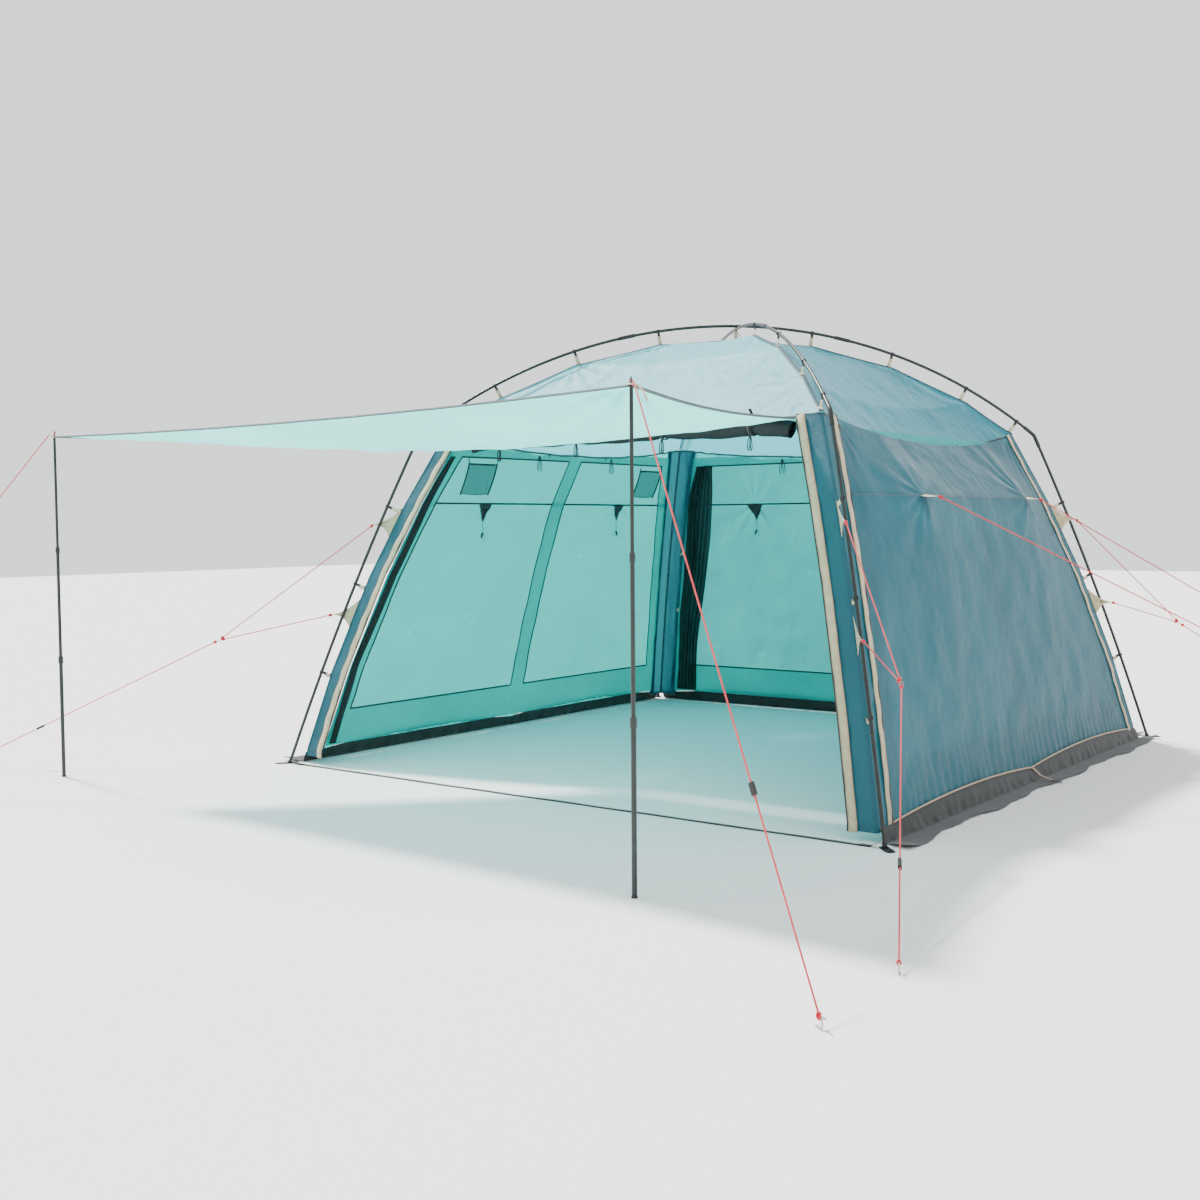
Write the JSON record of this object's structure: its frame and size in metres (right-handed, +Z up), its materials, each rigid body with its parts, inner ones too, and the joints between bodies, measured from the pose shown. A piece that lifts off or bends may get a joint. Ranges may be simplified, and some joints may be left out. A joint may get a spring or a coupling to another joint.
{
  "type": "screen house shelter",
  "caption": "Square screen-house shelter tent on crossed poles, its front panel raised as an awning on telescopic poles, with red guy lines.",
  "frame": {"origin": "centre of the footprint of the shelter with its awning, at ground level, guy lines left out", "axes": "+Z up, +Y from the open front to the back wall, +X to the right seen from the front"},
  "size_m": [6.7394, 5.9269, 2.3777],
  "materials": {
    "pole_metal": "satin",
    "elbow_steel": "satin",
    "shock_cord": "matte",
    "clip_plastic": "satin",
    "webbing_beige": "matte",
    "canopy_fabric": "satin",
    "mesh_black": "matte",
    "skirt_black": "matte",
    "webbing_black": "matte",
    "toggle_plastic": "satin",
    "guy_cord": "matte",
    "slider_plastic": "satin",
    "steel_plain": "satin",
    "zip_metal": "satin"
  },
  "bodies": {
    "shelter": {"leg_pole_back_right": "pole_metal", "leg_pole_back_left": "pole_metal", "leg_pole_front_left": "pole_metal", "leg_pole_front_right": "pole_metal", "roof_pole_over": "pole_metal", "roof_pole_under": "pole_metal", "pole_sleeves": "elbow_steel", "shock_cords": "shock_cord", "shoulder_elbows": "elbow_steel", "corner_feet": "elbow_steel", "pole_clips": "clip_plastic", "clip_webbing": "webbing_beige", "roof_canopy": "canopy_fabric", "wall_right": "canopy_fabric", "wall_back": "canopy_fabric", "wall_left": "canopy_fabric", "mesh_windows": "mesh_black", "mud_skirt_right": "skirt_black", "mud_skirt_back": "skirt_black", "mud_skirt_left": "skirt_black", "corner_panels": "canopy_fabric", "zip_tapes": "webbing_beige", "front_strap": "webbing_black", "rolled_mesh_door": "mesh_black", "roll_ties": "webbing_black", "mesh_pockets": "mesh_black", "inner_tabs": "webbing_black", "tab_toggles": "toggle_plastic", "gathered_mesh": "mesh_black", "corner_guy_tabs": "webbing_beige", "wall_guy_tabs": "webbing_beige", "guy_line_front_left": "guy_cord", "guy_line_front_right": "guy_cord", "guy_line_back_right": "guy_cord", "guy_line_back_left": "guy_cord", "guy_line_wall_front": "guy_cord", "guy_line_wall_back": "guy_cord", "guy_rings": "steel_plain", "ground_pegs": "steel_plain"},
    "awning": {"awning_sheet": "canopy_fabric", "awning_corners": "webbing_beige"},
    "awning_pole_right_upper": {"awning_pole_right_upper": "pole_metal"},
    "awning_pole_right_middle": {"awning_pole_right_middle": "pole_metal"},
    "awning_pole_right_lower": {"awning_pole_right_lower": "pole_metal"},
    "guy_awning_right": {"guy_line_awning_right": "guy_cord"},
    "awning_pole_left_upper": {"awning_pole_left_upper": "pole_metal"},
    "awning_pole_left_middle": {"awning_pole_left_middle": "pole_metal"},
    "awning_pole_left_lower": {"awning_pole_left_lower": "pole_metal"},
    "guy_awning_left": {"guy_line_awning_left": "guy_cord"},
    "guy_slider_front_left": {"guy_slider_front_left": "slider_plastic"},
    "guy_slider_front_right": {"guy_slider_front_right": "slider_plastic"},
    "guy_slider_back_right": {"guy_slider_back_right": "slider_plastic"},
    "guy_slider_back_left": {"guy_slider_back_left": "slider_plastic"},
    "guy_slider_wall_front": {"guy_slider_wall_front": "slider_plastic"},
    "guy_slider_wall_back": {"guy_slider_wall_back": "slider_plastic"},
    "guy_slider_awning_right": {"guy_slider_awning_right": "slider_plastic"},
    "guy_slider_awning_left": {"guy_slider_awning_left": "slider_plastic"},
    "zip_slider_front_right": {"zip_slider_front_right": "zip_metal"},
    "zip_slider_front_left": {"zip_slider_front_left": "zip_metal"},
    "zip_slider_right_front": {"zip_slider_right_front": "zip_metal"}
  },
  "joints": [
    {"name": "awning_tilt", "type": "hinge", "parent": "shelter", "child": "awning", "pos_m": [0.285, -0.645, 1.742], "axis": [1, 0, 0], "range_deg": [0, 25], "deforming": ["guy_line_awning_right", "guy_line_awning_left"]},
    {"name": "awning_pole_right_swing", "type": "hinge", "parent": "awning", "child": "awning_pole_right_upper", "pos_m": [1.66, -2.39, 1.742], "axis": [1, 0, 0], "range_deg": [-25.5, 0.5]},
    {"name": "awning_pole_right_middle_slide", "type": "slide", "parent": "awning_pole_right_upper", "child": "awning_pole_right_middle", "axis": [0, 0, 1], "range_m": [-0.001, 0.3727]},
    {"name": "awning_pole_right_lower_slide", "type": "slide", "parent": "awning_pole_right_middle", "child": "awning_pole_right_lower", "axis": [0, 0, 1], "range_m": [-0.001, 0.3727]},
    {"name": "guy_awning_right_swing", "type": "hinge", "parent": "shelter", "child": "guy_awning_right", "pos_m": [2.775, -3.14, 0.024], "axis": [-0.7036, -0.6937, -0.1538], "range_deg": [-0.5, 18.66]},
    {"name": "awning_pole_left_swing", "type": "hinge", "parent": "awning", "child": "awning_pole_left_upper", "pos_m": [-2.115, -2.17, 1.742], "axis": [1, 0, 0], "range_deg": [-25.5, 0.5]},
    {"name": "awning_pole_left_middle_slide", "type": "slide", "parent": "awning_pole_left_upper", "child": "awning_pole_left_middle", "axis": [0, 0, 1], "range_m": [-0.001, 0.3262]},
    {"name": "awning_pole_left_lower_slide", "type": "slide", "parent": "awning_pole_left_middle", "child": "awning_pole_left_lower", "axis": [0, 0, 1], "range_m": [-0.001, 0.3262]},
    {"name": "guy_awning_left_swing", "type": "hinge", "parent": "shelter", "child": "guy_awning_left", "pos_m": [-3.115, -3.14, 0.024], "axis": [-0.7968, 0.5899, 0.1308], "range_deg": [-0.5, 16.06]},
    {"name": "guy_slider_front_left_slide", "type": "slide", "parent": "shelter", "child": "guy_slider_front_left", "axis": [0.6896, 0.5818, 0.4313], "range_m": [-0.391, 0.33]},
    {"name": "guy_slider_front_right_slide", "type": "slide", "parent": "shelter", "child": "guy_slider_front_right", "axis": [-0.3786, 0.819, 0.4311], "range_m": [-0.391, 0.331]},
    {"name": "guy_slider_back_right_slide", "type": "slide", "parent": "shelter", "child": "guy_slider_back_right", "axis": [-0.7617, -0.314, 0.5667], "range_m": [-0.283, 0.251]},
    {"name": "guy_slider_back_left_slide", "type": "slide", "parent": "shelter", "child": "guy_slider_back_left", "axis": [0.5428, -0.344, 0.7662], "range_m": [-0.194, 0.186]},
    {"name": "guy_slider_wall_front_slide", "type": "slide", "parent": "shelter", "child": "guy_slider_wall_front", "axis": [-0.5336, -0.7424, 0.4052], "range_m": [-0.954, 0.744]},
    {"name": "guy_slider_wall_back_slide", "type": "slide", "parent": "shelter", "child": "guy_slider_wall_back", "axis": [-0.6553, -0.5707, 0.4949], "range_m": [-0.77, 0.609]},
    {"name": "guy_slider_awning_right_slide", "type": "slide", "parent": "guy_awning_right", "child": "guy_slider_awning_right", "axis": [-0.5033, 0.3385, 0.7951], "range_m": [-0.593, 0.479]},
    {"name": "guy_slider_awning_left_slide", "type": "slide", "parent": "guy_awning_left", "child": "guy_slider_awning_left", "axis": [0.4454, 0.4321, 0.7841], "range_m": [-0.602, 0.485]},
    {"name": "zip_slider_front_right_slide", "type": "slide", "parent": "shelter", "child": "zip_slider_front_right", "axis": [0.3567, -0.3567, -0.8635], "range_m": [0, 0.3]},
    {"name": "zip_slider_front_left_slide", "type": "slide", "parent": "shelter", "child": "zip_slider_front_left", "axis": [-0.3567, -0.3567, -0.8635], "range_m": [0, 0.3]},
    {"name": "zip_slider_right_front_slide", "type": "slide", "parent": "shelter", "child": "zip_slider_right_front", "axis": [0.3567, -0.3567, -0.8635], "range_m": [0, 0.3]}
  ],
  "couplings": [
    {"joint": "awning_pole_right_swing", "follows": "awning_tilt", "ratio": -1},
    {"joint": "awning_pole_right_middle_slide", "follows": "awning_tilt", "m_per_rad": 0.84508},
    {"joint": "awning_pole_right_lower_slide", "follows": "awning_tilt", "m_per_rad": 0.84508},
    {"joint": "guy_awning_right_swing", "follows": "awning_tilt", "ratio": 0.72652},
    {"joint": "awning_pole_left_swing", "follows": "awning_tilt", "ratio": -1},
    {"joint": "awning_pole_left_middle_slide", "follows": "awning_tilt", "m_per_rad": 0.73853},
    {"joint": "awning_pole_left_lower_slide", "follows": "awning_tilt", "m_per_rad": 0.73853},
    {"joint": "guy_awning_left_swing", "follows": "awning_tilt", "ratio": 0.62241}
  ]
}
